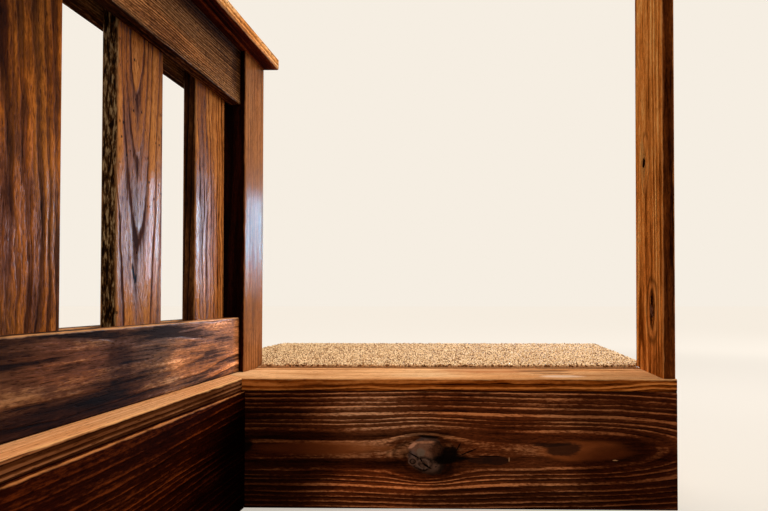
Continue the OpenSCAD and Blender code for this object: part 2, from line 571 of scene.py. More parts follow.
class Timber(NodeSheet):
    """A board's finish, worked out from the board's own box and how it was cut.

    A point lies so far along the grain, across the face and into the board, from its middle.
    """

    def __init__(self, node: str, figure: Figure, finish: Finish = Finish.STAINED) -> None:
        """Reads the board's box and places a point in it.

        Args:
            node: The board's node.
            figure: How the board was cut.
            finish: How it is finished.
        """
        super().__init__(bpy.data.materials.new(f"{finish.value}_{node}"))
        self.figure = figure
        low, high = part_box(node)
        middle = (low + high) / 2
        self.half = (high - low) / 2
        order = sorted(Axis, key=lambda axis: self.half[axis.value])
        self.face = figure.face or order[0]
        self.grain = order[2]
        self.width = next(axis for axis in Axis if axis not in (self.face, self.grain))
        place = self.split(self.add("TexCoord").outputs["Object"])

        def part(axis: Axis, sign: int = 1) -> Socket:
            return self.times(self.minus(place[axis.value], middle[axis.value]), float(sign))

        self.along, self.across = part(self.grain), part(self.width)
        self.depth = part(self.face, -figure.face_sign)

    @cached_property
    def normal(self) -> bpy.types.NodeOutputs:
        """The surface's direction, in its three numbers."""
        return self.split(self.add("TexCoord").outputs["Normal"])

    def stretched(self, weave: Weave) -> Socket:
        """A vector for patterns that are drawn out along the grain."""
        lifted = self.scaled(self.depth, weave.across, self.figure.seed * 7.31 + weave.shift)
        return self.vector(self.times(self.along, weave.along), self.times(self.across, weave.across), lifted)

    def woven(self, weave: Weave) -> Socket:
        """Adds noise that is drawn out along the grain."""
        return self.noise(self.stretched(weave), 1.0, weave.detail, weave.roughness)

    def chance(self, number: Socket, shift: float) -> Socket:
        """A random number from 0 to 1 for each whole number."""
        node = self.add("TexWhiteNoise", noise_dimensions="1D")
        self.feed(node.inputs["W"], self.plus(number, self.figure.seed * 3.7 + shift))
        return node.outputs["Value"]

    def facing(self, side: LitAndWornFace | Bark) -> Socket:
        """Tells the faces that look to one side of the board."""
        return self.remap(self.times(self.normal[side.axis.value], float(side.sign)), 0.35, 0.8)

    def gap_to(self, along: float, across: float, stretch: float, turn: float = 0.0) -> Socket:
        """The squared distance to a point of the board's face, shortened along the grain.

        Args:
            along: The point's place along the grain.
            across: Its place across the face.
            stretch: How much longer along the grain a line of equal distance is.
            turn: By how many degrees that direction slants from the grain.

        Returns:
            The squared distance.
        """
        right = self.minus(self.along, along)
        up = self.minus(self.across, across)
        if turn:
            level, slant = math.cos(math.radians(turn)), math.sin(math.radians(turn))
            right, up = (
                self.scaled(right, level, self.times(up, slant)),
                self.scaled(up, level, self.times(right, -slant)),
            )
        right = self.times(right, 1 / stretch)
        return self.scaled(right, right, self.times(up, up))

    def rings(self) -> Socket:
        """Adds the nodes that number the growth rings, bent round the knots.

        Returns:
            The ring number, whose fraction says how far through the ring the point is.
        """
        figure = self.figure
        across = self.across
        waves = ((figure.wander, LONG_WAVE), (figure.ripple, SHORT_WAVE), (figure.ripple * 0.3, FINE_WAVE))
        for reach, weave in waves:
            across = self.plus(across, self.swing(self.woven(weave), reach * 2))
        for knot in figure.knots:
            square = self.gap_to(knot.along, knot.across, knot.halo)
            near = self.math("DIVIDE", knot.radius**2, self.math("MAXIMUM", square, knot.radius**2))
            push = self.times(self.minus(across, knot.across), self.math("POWER", near, 1.5))
            across = self.scaled(push, -0.7, across)
        run = self.plus(self.along, -figure.nose_at)
        soft = self.math("SQRT", self.scaled(run, run, 0.0012))
        lift = self.times(self.plus(run, soft), 0.5 * figure.nose)
        bow = self.times(self.along, self.scaled(self.along, figure.bend, figure.slope))
        deep = self.swing(self.woven(DEEP_WAVE), figure.wander)
        depth = self.plus(self.plus(self.depth, figure.pith_depth), deep)
        depth = self.plus(self.plus(depth, bow), lift)
        side = self.minus(across, figure.pith_across)
        distance = self.math("SQRT", self.scaled(side, side, self.times(depth, depth)))
        number = self.scaled(distance, 1 / figure.ring, figure.phase)
        uneven = self.add("TexNoise", noise_dimensions="1D")
        self.feed(uneven.inputs["W"], self.scaled(number, 0.55, float(figure.seed)))
        uneven.inputs["Scale"].default_value = 1.0
        uneven.inputs["Detail"].default_value = 0.0
        return self.plus(number, self.swing(uneven.outputs["Fac"], 0.35))

    def hard_rings(self, number: Socket, share: float) -> Socket:
        """Adds the nodes that tell the hard part of each ring from its soft part.

        Args:
            number: The ring number.
            share: The hard part's share of a ring.

        Returns:
            0 in the soft part, up to 1 in the hard part of a strong ring.
        """
        place = self.math("FRACT", number)
        whole = self.math("FLOOR", number)
        start = self.scaled(self.chance(whole, 0.3), -0.5 * share, 1 - 0.75 * share)
        line = self.remap(place, self.minus(start, 0.06 + 0.45 * share), start)
        slope = self.remap(place, 0.05, start, 0.0, 0.34)
        fall = self.remap(place, 0.90, 1.0, 1.0, 0.0)
        strong = self.scaled(self.chance(whole, 5.3), 0.55, 0.45)
        ring = self.times(self.scaled(line, 0.66, slope), fall)
        fine = self.math("PINGPONG", self.times(number, 2.7), 0.5)
        after = self.times(self.remap(place, 0.0, 0.14, 1.0, 0.0), strong)
        ring = self.scaled(after, -0.22, self.times(ring, strong))
        return self.plus(ring, self.scaled(fine, 0.24, -0.05))

    def arris(self) -> Socket:
        """Adds the nodes that find how near a point is to one of the board's long edges.

        Returns:
            1 on an edge, falling to 0 a few millimetres from it.
        """

        def gap(socket: Socket, axis: Axis) -> Socket:
            return self.minus(self.half[axis.value], self.math("ABSOLUTE", socket))

        nearest = self.math("MAXIMUM", gap(self.across, self.width), gap(self.depth, self.face))
        nearest = self.plus(nearest, self.swing(self.woven(NIBBLE), 3.0 * MM))
        return self.remap(nearest, 0.2 * MM, 2.8 * MM, 1.0, 0.0)

    def stained(self, stain: Stain) -> Material:
        """Makes the board's stained finish.

        Args:
            stain: The stain.

        Returns:
            The material.
        """
        figure = self.figure
        hard = self.hard_rings(self.rings(), stain.hard_share)
        fibre, feather, streak, patch = (self.woven(weave) for weave in (FIBRE, FEATHER, STREAK, PATCH))
        hard = self.times(hard, self.remap(self.woven(FADE), 0.22, 0.72, 0.45, 1.35))
        hard = self.times(hard, self.remap(self.woven(BREAK), 0.3, 0.7, 0.86, 1.12))
        if figure.calm:
            side = self.math("ABSOLUTE", self.minus(self.across, figure.pith_across))
            hard = self.times(hard, self.remap(side, 0.5 * figure.calm, 1.4 * figure.calm, 0.6, 1.0))
        share = self.scaled(hard, stain.contrast, stain.base)
        swings = ((streak, 0.5 * stain.streak), (feather, 0.7 * stain.streak), (patch, 0.7 * stain.patch))
        for noise, reach in swings:
            share = self.plus(share, self.swing(noise, reach))
        loose = self.scaled(share, 1.4, 0.3)
        share = self.scaled(self.swing(fibre, stain.fibre), loose, share)
        share = self.math("MAXIMUM", self.math("MINIMUM", share, 1.0), 0.0)
        lit_and_worn, chips = self.find_lit_and_worn()
        colour = self.toned(share, stain.deep)
        # Faces that face the lamps take the paler tones: painted light, partly wear.
        if figure.lit_and_worn:
            colour = self.mix(lit_and_worn, colour, self.toned(share, stain.pale))
        warm = self.times(self.remap(self.woven(WARMTH), 0.35, 0.65), stain.tint)
        colour = self.mix(warm, colour, WARM_WASH, "MULTIPLY")
        pore = self.remap(self.woven(PORES), 0.60, 0.70)
        colour = self.mix(self.times(pore, 0.7), colour, PORE_WASH, "MULTIPLY")
        height = self.scaled(feather, 0.25, self.times(hard, 0.5))
        height = self.scaled(fibre, 0.25, height)
        height = self.scaled(pore, -0.3, height)
        height = self.plus(height, chips)
        for knot in figure.knots:
            colour, height = self.knotted(knot, colour, height, stain)
        for mark in figure.marks:
            colour = self.marked(mark, colour)
        if figure.specks:
            colour, height = self.specked(colour, height)
        end = self.remap(self.math("ABSOLUTE", self.normal[self.grain.value]), 0.8, 0.95)
        colour = self.mix(self.times(end, 0.45), colour, stain.deep.soft)
        if figure.bark:
            crust = self.plus(self.woven(CRUST), self.swing(patch, 0.10))
            side = self.facing(figure.bark)
            colour = self.mix(side, colour, self.ramp(crust, BARK_TONES))
            height = self.scaled(self.times(crust, side), 1.2, height)
        # Long edges: paler above from wear and painted highlight, painted shade below.
        colour = self.mix(self.times(self.arris(), 0.75), colour, self.edge_light_and_shade(stain))
        shine = self.scaled(share, -stain.polish, stain.roughness + 0.5 * stain.polish)
        shine = self.plus(shine, self.swing(patch, 0.10))
        level = self.add("RGBToBW")
        self.feed(level.inputs[0], colour)
        dull = self.remap(level.outputs[0], 0.02, 0.09, 0.35, 0.0)
        shader = self.surface(colour, self.plus(shine, dull), stain.gloss)
        self.emboss(shader, height, RELIEF * stain.relief)
        return self.close(shader)

    def edge_light_and_shade(self, stain: Stain) -> Value | Colour:
        """Finds the colour of the long edges: paler above, from wear and painted highlight, and darker below,
        painted shade.

        Args:
            stain: The board's stain.

        Returns:
            The tone.
        """
        if self.grain is Axis.Z or any(face.fleck for face in self.figure.lit_and_worn):
            return stain.edge_colour
        upright = self.width is Axis.Z
        up = self.across if upright else self.depth
        sign = 1.0 if upright else -float(self.figure.face_sign)
        above = self.remap(self.times(up, sign), -1.0 * MM, 1.0 * MM)
        return self.mix(above, stain.deep.soft, stain.edge_colour)

    def toned(self, share: Socket, tones: Tones) -> Socket:
        """Turns the hard rings' share into a colour."""
        return self.ramp(share, ((0.0, tones.soft), (0.45, tones.middle), (0.92, tones.hard)))

    def find_lit_and_worn(self) -> tuple[Value, Value]:
        """Adds the nodes that find the faces painted lit, partly from wear, and the chips in them.

        Returns:
            How much a point takes the paler, painted-lit tones, and the chips' height.
        """
        lit_and_worn: Value = 0.0
        chips: Value = 0.0
        for face in self.figure.lit_and_worn:
            facing = self.facing(face)
            part = self.times(facing, face.share)
            if face.fleck:
                chip = self.woven(CHIPS)
                part = self.times(self.plus(part, self.swing(chip, face.fleck)), facing)
                chips = self.times(self.times(chip, facing), face.fleck * 2)
            lit_and_worn = self.math("MAXIMUM", lit_and_worn, part, clamp=True)
        return lit_and_worn, chips

    def marked(self, mark: Mark, colour: Socket) -> Socket:
        """Lays a mark over the grain: a stain, or a patch of painted light or shade.

        Args:
            mark: The mark.
            colour: The grain's colour.

        Returns:
            The new colour.
        """
        length, width = mark.length * MM, mark.width * MM
        square = self.gap_to(mark.along * MM, mark.across * MM, length / width, mark.turn)
        away = self.times(self.math("SQRT", square), 1 / width)
        edge = self.woven(Weave(0.9 / length, 1.1 / width, 61, 3, 0.6))
        away = self.plus(away, self.swing(edge, mark.ragged))
        fade = self.remap(away, 0.55 + 0.40 * mark.crisp, 1.10 - 0.08 * mark.crisp, 1.0, 0.0)
        if mark.hollow:
            fade = self.times(fade, self.remap(away, mark.hollow - 0.2, mark.hollow))
        blend = "MULTIPLY" if mark.tone in LIGHT_AND_SHADE_WASHES else "MIX"
        return self.mix(self.times(fade, mark.strength), colour, mark.tone, blend)

    def knotted(self, knot: Knot, colour: Socket, height: Socket, stain: Stain) -> tuple[Socket, Socket]:
        """Lays a knot's own rings, dark rim and cracks over the grain.

        Args:
            knot: The knot.
            colour: The grain's colour.
            height: The grain's height.
            stain: The board's stain.

        Returns:
            The new colour and height.
        """
        size = knot.radius
        rough = self.woven(Weave(0.8 / size, 0.8 / size, 41, 3, 0.6))
        wobble = self.swing(rough, 0.5)

        def away(stretch: float) -> Socket:
            square = self.gap_to(knot.along, knot.across, stretch)
            return self.scaled(self.math("SQRT", square), 1 / size, wobble)

        round_it = away(knot.halo)
        halo = self.remap(round_it, 0.8, 1.7, 0.8, 0.0)
        wraps = self.math("PINGPONG", self.times(round_it, 3.4), 0.5)
        wraps = self.mix(self.times(wraps, 1.5), stain.deep.soft, colour)
        body_away = away(1.0)
        body = self.remap(body_away, 0.86, 0.98, 1.0, 0.0)
        rim = self.times(self.remap(body_away, 0.70, 0.88), body)
        lobes = self.woven(Weave(0.55 / size, 0.55 / size, 45))
        uphill = self.minus(self.across, self.times(self.along, 0.5))
        uphill = self.minus(uphill, knot.across - 0.5 * knot.along)
        lobes = self.scaled(uphill, 0.16 / size, lobes)
        turn = self.scaled(lobes, 12.0, self.times(body_away, 3.0))
        turn = self.math("PINGPONG", turn, 0.5)
        grey = self.mix(self.remap(lobes, 0.34, 0.56), stain.pale.soft, KNOT_HEART)
        core = self.mix(self.times(turn, 0.9), grey, stain.pale.soft)
        crack = self.woven(Weave(1.3 / size, 1.0 / size, 47, 3, 0.75))
        open_wide = self.remap(rough, 0.40, 0.60, 0.006, 0.075)
        crack = self.math("ABSOLUTE", self.minus(crack, 0.50))
        split = self.remap(crack, 0.0, open_wide, 1.0, 0.0)
        kept = self.remap(lobes, 0.46, 0.60, 1.0, 0.15)
        split = self.times(self.times(split, kept), body)
        core = self.mix(self.times(rim, 0.6), core, stain.deep.soft)
        core = self.mix(split, core, CRACK)
        dome = self.remap(body_away, 0.2, 1.0, 1.0, 0.0)
        height = self.scaled(dome, 2.2, self.scaled(rough, 1.5, height))
        height = self.scaled(split, -1.6, height)
        height = self.scaled(self.times(turn, body), 0.35, height)
        return self.mix(body, self.mix(halo, colour, wraps), core), height

    def specked(self, colour: Socket, height: Socket) -> tuple[Socket, Socket]:
        """Scatters clusters of pin knots over the board.

        Args:
            colour: The grain's colour.
            height: The grain's height.

        Returns:
            The new colour and height.
        """
        cells = self.add("TexVoronoi", feature="F1")
        self.feed(cells.inputs["Vector"], self.stretched(SPECKS))
        cells.inputs["Scale"].default_value = 1.0
        pick = self.add("SeparateColor")
        self.feed(pick.inputs[0], cells.outputs["Color"])
        kept = self.math("LESS_THAN", pick.outputs[0], self.figure.specks)
        cluster = self.remap(self.woven(CLUSTERS), 0.46, 0.58)
        dot = self.remap(cells.outputs["Distance"], 0.10, 0.24, 1.0, 0.0)
        dot = self.times(self.times(dot, kept), cluster)
        return self.mix(dot, colour, PIN_KNOT), self.minus(height, dot)

    def raw(self, pale: Colour, deep: Colour) -> Material:
        """Makes a sawn, unfinished finish.

        Args:
            pale: The soft rings' colour.
            deep: The hard rings' colour.

        Returns:
            The material.
        """
        place = self.math("FRACT", self.rings())
        hard = self.times(self.remap(place, 0.2, 0.85), self.remap(place, 0.9, 1.0, 1.0, 0.0))
        fibre = self.woven(RAW_FIBRE)
        share = self.scaled(hard, 0.5, self.swing(self.woven(RAW_TONE), 0.3))
        share = self.math("ADD", share, self.swing(fibre, 0.35), clamp=True)
        colour = self.mix(share, pale, deep)
        for knot in self.figure.knots:
            away = self.math("SQRT", self.gap_to(knot.along, knot.across, 1.0))
            turn = self.math("PINGPONG", self.times(away, 240.0), 0.5)
            core = self.mix(turn, RAW_KNOT_PALE, RAW_KNOT_DARK)
            colour = self.mix(self.remap(away, knot.radius * 0.85, knot.radius, 1.0, 0.0), colour, core)
        shader = self.surface(colour, 0.85, 0.2)
        self.emboss(shader, self.scaled(fibre, 0.6, self.woven(SAW_MARKS)), RELIEF, 0.4)
        return self.close(shader)


def add_box(name: str, middle: Vector, size: Vector) -> Piece:
    """Adds a box with its place in its mesh.

    Args:
        name: The piece's name.
        middle: The box's middle.
        size: Its three sizes.

    Returns:
        The box.
    """
    bpy.ops.object.select_all(action="DESELECT")
    bpy.ops.mesh.primitive_cube_add(size=1, location=middle)
    box = bpy.context.object
    box.name = name
    box.scale = size
    bpy.ops.object.transform_apply(location=True, rotation=True, scale=True)
    return box


def change(piece: Piece, kind: str, **settings: object) -> None:
    """Changes the active piece's mesh with a modifier.

    Args:
        piece: The piece.
        kind: The modifier's type.
        **settings: Its settings, by name.
    """
    modifier = piece.modifiers.new(kind.lower(), kind)
    for name, value in settings.items():
        setattr(modifier, name, value)
    bpy.ops.object.modifier_apply(modifier=modifier.name)


def cut_with(piece: Piece, cutter: Piece) -> None:
    """Cuts one piece with another, which is used up.

    Args:
        piece: The piece to cut.
        cutter: The piece that is taken away from it.
    """
    bpy.ops.object.select_all(action="DESELECT")
    bpy.context.view_layer.objects.active = piece
    piece.select_set(True)
    change(piece, "BOOLEAN", operation="DIFFERENCE", solver="EXACT", object=cutter)
    bpy.data.objects.remove(cutter)


def dress(node: str, material: Material) -> None:
    """Gives a solid its material.

    Args:
        node: The solid's node.
        material: The material.
    """
    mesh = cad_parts[node].data
    mesh.materials.clear()
    mesh.materials.append(material)
    log.info("dressed %s", node)


@dataclass(frozen=True)
class Board:
    """A stained board: its node, how it was cut and its stain."""

    node: str
    figure: Figure
    stain: Stain

    def finish(self) -> None:
        """Dresses the board."""
        dress(self.node, Timber(self.node, self.figure).stained(self.stain))


RISER_MARKS = (
    Mark(197, 0, 76, 17, AMBER, 0.25, 0.85, 0.3),
    Mark(-200, 3, 115, 13, AMBER, 0.45, 0.8),
    Mark(-207, 19.5, 120, 7, SHADE, 0.45, 0.75),
    Mark(-185, -21.5, 125, 8.5, SHADE, 0.45, 0.7),
    # A painted sheen, a reflection of pale light, across the riser's left middle; below it a paler patch of
    # wood.
    Mark(-105, 40, 85, 60, PAINTED_SHEEN, 0.5, 0.55),
    Mark(-110, -50, 80, 40, GLOW, 0.5, 0.55),
    # Painted shade: the riser darkens towards its left end by the ledge corner, towards its right end and
    # along its bottom.
    Mark(-285, 72, 100, 35, SHADE, 0.4, 0.9),
    Mark(-285, -70, 90, 40, SHADE, 0.4, 0.9),
    Mark(265, 55, 130, 55, SHADE, 0.5, 0.7),
    Mark(285, -48, 130, 75, SHADE, 0.5, 1.0),
    Mark(60, -80, 330, 26, SHADE, 0.4, 0.6),
    Mark(-345, -30, 180, 110, SHADE, 0.3, 1.0),
    Mark(-76, 0, 12, 20, SHADE, 0.6, 0.55),
    Mark(-40, 24, 45, 6, SHADE, 0.5, 0.8),
    Mark(-40, 3.5, 30, 13.2, srgb(142, 92, 66), 0.5, 0.8, 0.1, turn=-8),
    Mark(-49, -3, 7.5, 6.5, srgb(122, 100, 82), 0.6, 0.8, 0.1),
    # Painted highlights where light catches the knot's raised upper lobe.
    Mark(-61, 7, 8, 3.2, srgb(226, 156, 118), 0.6, 0.8, turn=38),
    Mark(-45, 12, 20, 1.8, srgb(206, 136, 96), 0.7, 0.7, 0.2),
    Mark(-22, 1, 17, 15, SHADE, 0.5, 1.0),
    Mark(-44.5, -20, 16.5, 12, PITCH, 0.4, 0.7, 0.4, hollow=0.82),
    Mark(-45.6, -20.5, 11, 8.5, srgb(126, 96, 80), 0.4, 0.7, 0.4, hollow=0.78),
    Mark(-60.6, -16.5, 7.2, 6.6, srgb(120, 84, 66), 0.3, 0.7, 0.4, hollow=0.78),
    Mark(-60.6, -16.5, 5.2, 4.6, PITCH, 0.4, 0.8, 0.4, hollow=0.65),
    Mark(-57.8, -8.1, 9.5, 1.1, PITCH, 0.8, 1.0, 0.4, turn=-29),
    Mark(-48, -14.5, 4.5, 1.2, PITCH, 0.6, 1.0, 0.4, turn=-60),
    Mark(-40, -23, 9, 1.5, PITCH, 0.8, 1.0, 0.4, turn=-33),
    Mark(-38.2, 20.5, 22, 2.6, PITCH, 0.5, 0.9, turn=-6),
    Mark(-8, -8, 24, 16.5, PITCH, 0.95, 0.98, turn=15),
    Mark(-1.6, -12, 30, 6, PITCH, 0.5, 0.9),
    Mark(7.6, 5.4, 9, 1.1, PITCH, 0.6, 0.95, 0.3, turn=60),
    Mark(22, -2.5, 15, 1.3, PITCH, 0.6, 1.0, 0.3, turn=22),
    Mark(14, -11.5, 22, 1.6, PITCH, 0.6, 0.9, 0.3),
    Mark(-12, -30, 17, 10, PITCH, 0.6, 0.6),
    Mark(40, -14.5, 22, 5.6, SOOT, 0.45, 0.8, 0.6),
    Mark(63, -14.5, 20, 7, SOOT, 0.30, 0.85, 0.85),
    Mark(48, -8.5, 26, 1.3, PITCH, 0.5, 0.9, 0.3),
    Mark(162, 2, 28, 12, SOOT, 0.8, 0.85, 0.3),
    Mark(143, 9, 34, 3, SOOT, 0.8, 0.8, 0.3),
    Mark(-322, 6, 24, 13, PITCH, 0.4, 0.9, 0.5),
    Mark(83, -13, 0.9, 3.4, CHIP, 0.3, 0.9, 1.0),
    Mark(240, -13.6, 3.4, 0.9, CHIP, 0.9, 1.0, 1.0),
)
TREAD_MARKS = (
    # Painted highlight across the cap's top.
    Mark(-160, -10, 260, 60, PAINTED_HIGHLIGHT, 0.5, 1.0),
    Mark(15, -30, 70, 28, PAINTED_HIGHLIGHT, 0.4, 1.0),
    Mark(125, 22, 100, 34, AMBER, 0.6, 0.45),
    Mark(205, 18, 55, 17, SMOKE, 0.5, 0.55),
    Mark(215, -8, 40, 5, SMOKE, 0.6, 0.7),
    # A painted highlight spot, then painted shade at the cap's left end.
    Mark(228, -42, 40, 14, srgb(236, 206, 178), 0.5, 0.6),
    Mark(-335, -45, 60, 30, SHADE, 0.6, 0.4),
)
FASCIA_MARKS = (
    # Painted shadow at the facing's far end, in the corner by the riser.
    Mark(475, -30, 160, 120, SHADE, 0.3, 1.0),
    Mark(500, -30, 100, 120, SHADE, 0.3, 1.0),
)
TOP_RAIL_MARKS = (
    # Painted shadow under the cap rail along the top, and at the end by the newel.
    Mark(0, 46, 900, 30, SHADE, 0.3, 1.0),
    Mark(490, 10, 40, 60, SHADE, 0.4, 0.9),
    Mark(240, -20, 160, 22, GLOW, 0.6, 0.6),
)
BOTTOM_RAIL_MARKS = (
    Mark(115, 12, 70, 24, GLOW, 0.8, 0.7),
    # Painted sheen, a reflection of pale light, over the rail's right part.
    Mark(385, 8, 190, 80, PAINTED_SHEEN, 0.4, 1.0),
    Mark(400, 4, 150, 50, GLOW, 0.7, 1.0),
    Mark(400, 10, 180, 70, GLOW, 0.4, 0.4),
    Mark(60, -42, 200, 24, SHADE, 0.6, 0.8),
    Mark(193, 0, 22, 45, SHADE, 0.8, 0.6),
    Mark(60, -40, 120, 20, SHADE, 0.8, 0.6),
    Mark(10, 30, 60, 16, SHADE, 0.8, 0.6),
)
SECOND_SLAT_MARKS = (
    Mark(-112, -14, 11, 2.4, PITCH, 0.7, 1.0, turn=-14),
    Mark(-120, -10, 7, 2, PITCH, 0.7, 1.0, turn=10),
    Mark(-60, -10, 110, 7, SHADE, 0.8, 0.6),
)
THIRD_SLAT_MARKS = (
    Mark(90, -24, 60, 10, SHADE, 0.9, 0.9),
    Mark(-80, -20, 70, 12, SHADE, 0.9, 0.8),
    Mark(-160, 10, 50, 8, SHADE, 0.9, 0.7),
    Mark(40, 2, 90, 10, GLOW, 0.9, 0.4),
    Mark(180, 0, 100, 60, SHADE, 0.5, 0.45),
)
POST_MARKS = (
    Mark(-74, 21, 8, 9, PITCH, 0.9, 1.0, 0.6),
    Mark(-300, -19, 14, 5, PITCH, 0.9, 1.0, 0.6),
    Mark(-335, -14, 12, 4, PITCH, 0.9, 1.0, 0.6),
    Mark(-318, -19, 60, 31, srgb(66, 32, 11), 0.3, 0.9, 0.5, hollow=0.88),
    Mark(-318, -19, 50, 23, srgb(226, 146, 76), 0.35, 0.5, 0.3, hollow=0.75),
    Mark(-318, -19, 36, 15, srgb(74, 36, 13), 0.4, 0.8, 0.5, hollow=0.8),
    Mark(-78, 14, 56, 27, srgb(84, 42, 16), 0.4, 0.7, 0.4, hollow=0.86),
    Mark(-78, 14, 46, 19, srgb(226, 146, 76), 0.4, 0.5, 0.3, hollow=0.75),
)

# Faces that take the paler tones: painted light from above and on the sides that face the lamps.
TOP = (LitAndWornFace(Axis.Z, 1),)
BOTH_SIDES = (LitAndWornFace(Axis.X, 1), LitAndWornFace(Axis.X, -1))
RAIL_SIDES = (*BOTH_SIDES, LitAndWornFace(Axis.Z, 1, 0.8))


@dataclass(frozen=True)
class Step:
    """The riser and its cap."""

    riser: Figure = Figure(
        11, Axis.Y, -1, ring=0.0073, phase=0.97, pith_across=0.001, pith_depth=0.0345, slope=0.004,
        nose_at=0.250, nose=0.16, wander=0.0022, ripple=0.0009, calm=0.024,
        knots=(Knot(-0.040, -0.010, 0.029, 1.7),),
        marks=RISER_MARKS,
    )
    cap: Figure = Figure(
        12, ring=0.0042, pith_across=0.03, pith_depth=0.05, wander=0.003, ripple=0.0009, lit_and_worn=TOP,
        marks=TREAD_MARKS,
    )

    def finish(self) -> None:
        """Dresses both boards."""
        Board("riser_board", self.riser, RISER_STAIN).finish()
        Board("riser_cap", self.cap, TREAD_STAIN).finish()


@dataclass(frozen=True)
class Ledge:
    """The ledge's cap and facing boards."""

    cap: Figure = Figure(
        21, ring=0.0045, pith_across=-0.03, pith_depth=0.12, wander=0.0015, ripple=0.0004, lit_and_worn=TOP
    )
    inner: Figure = Figure(
        22, Axis.X, 1, ring=0.0062, pith_across=0.12, pith_depth=0.09, wander=0.003,
        marks=FASCIA_MARKS,
    )
    outer: Figure = Figure(23, Axis.X, -1, pith_across=-0.01, pith_depth=0.03, nose_at=0.3, nose=0.12)
    end: Figure = Figure(24, Axis.Y, -1, pith_across=0.02, slope=0.03)

    def finish(self) -> None:
        """Dresses the boards."""
        Board("ledge_cap", self.cap, LEDGE_STAIN).finish()
        facings = {"ledge_fascia": self.inner, "outer_fascia": self.outer, "end_fascia": self.end}
        for node, figure in facings.items():
            Board(node, figure, FACING_STAIN).finish()


@dataclass(frozen=True)
class Guard:
    """The posts, the cap rail, the rails and the slats."""

    near_slats_from: int = 3
    # The corner newel's front face gets no paler tones and stays near-black: painted shadow.
    newel: Figure = Figure(
        31, Axis.X, 1, pith_across=0.09, pith_depth=0.08, lit_and_worn=(*BOTH_SIDES, LitAndWornFace(Axis.Y, 1))
    )
    end_newel: Figure = Figure(
        32, Axis.X, 1, pith_across=-0.08, pith_depth=0.07,
        lit_and_worn=(*BOTH_SIDES, LitAndWornFace(Axis.Y, 1), LitAndWornFace(Axis.Y, -1)),
    )
    cap: Figure = Figure(
        33, Axis.Z, -1, ring=0.006, pith_across=0.02, pith_depth=0.05,
        lit_and_worn=(LitAndWornFace(Axis.X, 1, 1.2, 3.0), LitAndWornFace(Axis.X, -1, 1.1, 2.6), LitAndWornFace(Axis.Z, 1, 0.6)),
    )
    top: Figure = Figure(
        40, Axis.X, 1, ring=0.003, pith_across=0.07, pith_depth=0.05, lit_and_worn=RAIL_SIDES,
        marks=TOP_RAIL_MARKS,
    )
    outer_top: Figure = Figure(
        41, Axis.X, -1, ring=0.0034, pith_across=0.07, pith_depth=0.05, lit_and_worn=RAIL_SIDES
    )
    bottom: Figure = Figure(
        45, Axis.X, 1, ring=0.009, pith_across=0.01, pith_depth=0.06, wander=0.012, lit_and_worn=RAIL_SIDES,
        marks=BOTTOM_RAIL_MARKS,
    )
    outer_bottom: Figure = Figure(
        46, Axis.X, -1, ring=0.009, pith_across=0.01, pith_depth=0.06, wander=0.012, lit_and_worn=RAIL_SIDES
    )
    slats: tuple[Figure, ...] = (
        Figure(
            51, Axis.X, 1, ring=0.009, pith_across=-0.05, pith_depth=0.03, slope=0.015, ripple=0.004,
            lit_and_worn=BOTH_SIDES,
        ),
        Figure(
            52, Axis.X, 1, ring=0.0112, pith_across=-0.008, pith_depth=0.034, slope=-0.1, bend=-0.12,
            ripple=0.002, specks=0.45, lit_and_worn=BOTH_SIDES, bark=Bark(Axis.Y, -1),
            marks=SECOND_SLAT_MARKS,
        ),
        Figure(
            53, Axis.X, 1, ring=0.0115, pith_across=-0.03, pith_depth=0.032, slope=0.05, wander=0.009,
            ripple=0.003, lit_and_worn=BOTH_SIDES,
            marks=THIRD_SLAT_MARKS,
        ),
        Figure(54, Axis.X, 1, ring=0.0064, pith_across=0.03, slope=-0.03, lit_and_worn=BOTH_SIDES),
        Figure(55, Axis.X, 1, ring=0.0058, pith_depth=0.03, slope=0.06, specks=0.25, lit_and_worn=BOTH_SIDES),
        Figure(56, Axis.X, 1, ring=0.0064, pith_across=-0.045, pith_depth=0.05, lit_and_worn=BOTH_SIDES),
    )

    def finish(self) -> None:
        """Dresses every board of the guard."""
        boards = (
            Board("corner_newel", self.newel, NEWEL_STAIN),
            Board("end_newel", self.end_newel, NEWEL_STAIN),
            Board("cap_rail", self.cap, CAP_RAIL_STAIN),
            Board("top_rail_inner", self.top, TOP_RAIL_STAIN),
            Board("top_rail_outer", self.outer_top, TOP_RAIL_STAIN),
            Board("bottom_rail_inner", self.bottom, BOTTOM_RAIL_STAIN),
            Board("bottom_rail_outer", self.outer_bottom, BOTTOM_RAIL_STAIN),
        )
        for board in boards:
            board.finish()
        for number, figure in enumerate(self.slats, 1):
            stain = SLAT_STAIN if number < self.near_slats_from else NEAR_SLAT_STAIN
            Board(f"slat_{number}", figure, stain).finish()


@dataclass(frozen=True)
class WallPost:
    """The flat post against the wall."""

    figure: Figure = Figure(
        61, Axis.X, -1, ring=0.014, pith_across=0.03, pith_depth=0.05, slope=0.03, wander=0.007,
        knots=(Knot(-0.074, 0.021, 0.009, 2.6), Knot(-0.319, -0.019, 0.012, 2.6)),
        marks=POST_MARKS,
        lit_and_worn=(LitAndWornFace(Axis.X, -1), LitAndWornFace(Axis.Y, 1, 0.6)),
    )

    def finish(self) -> None:
        """Dresses the post."""
        Board("wall_post", self.figure, POST_STAIN).finish()


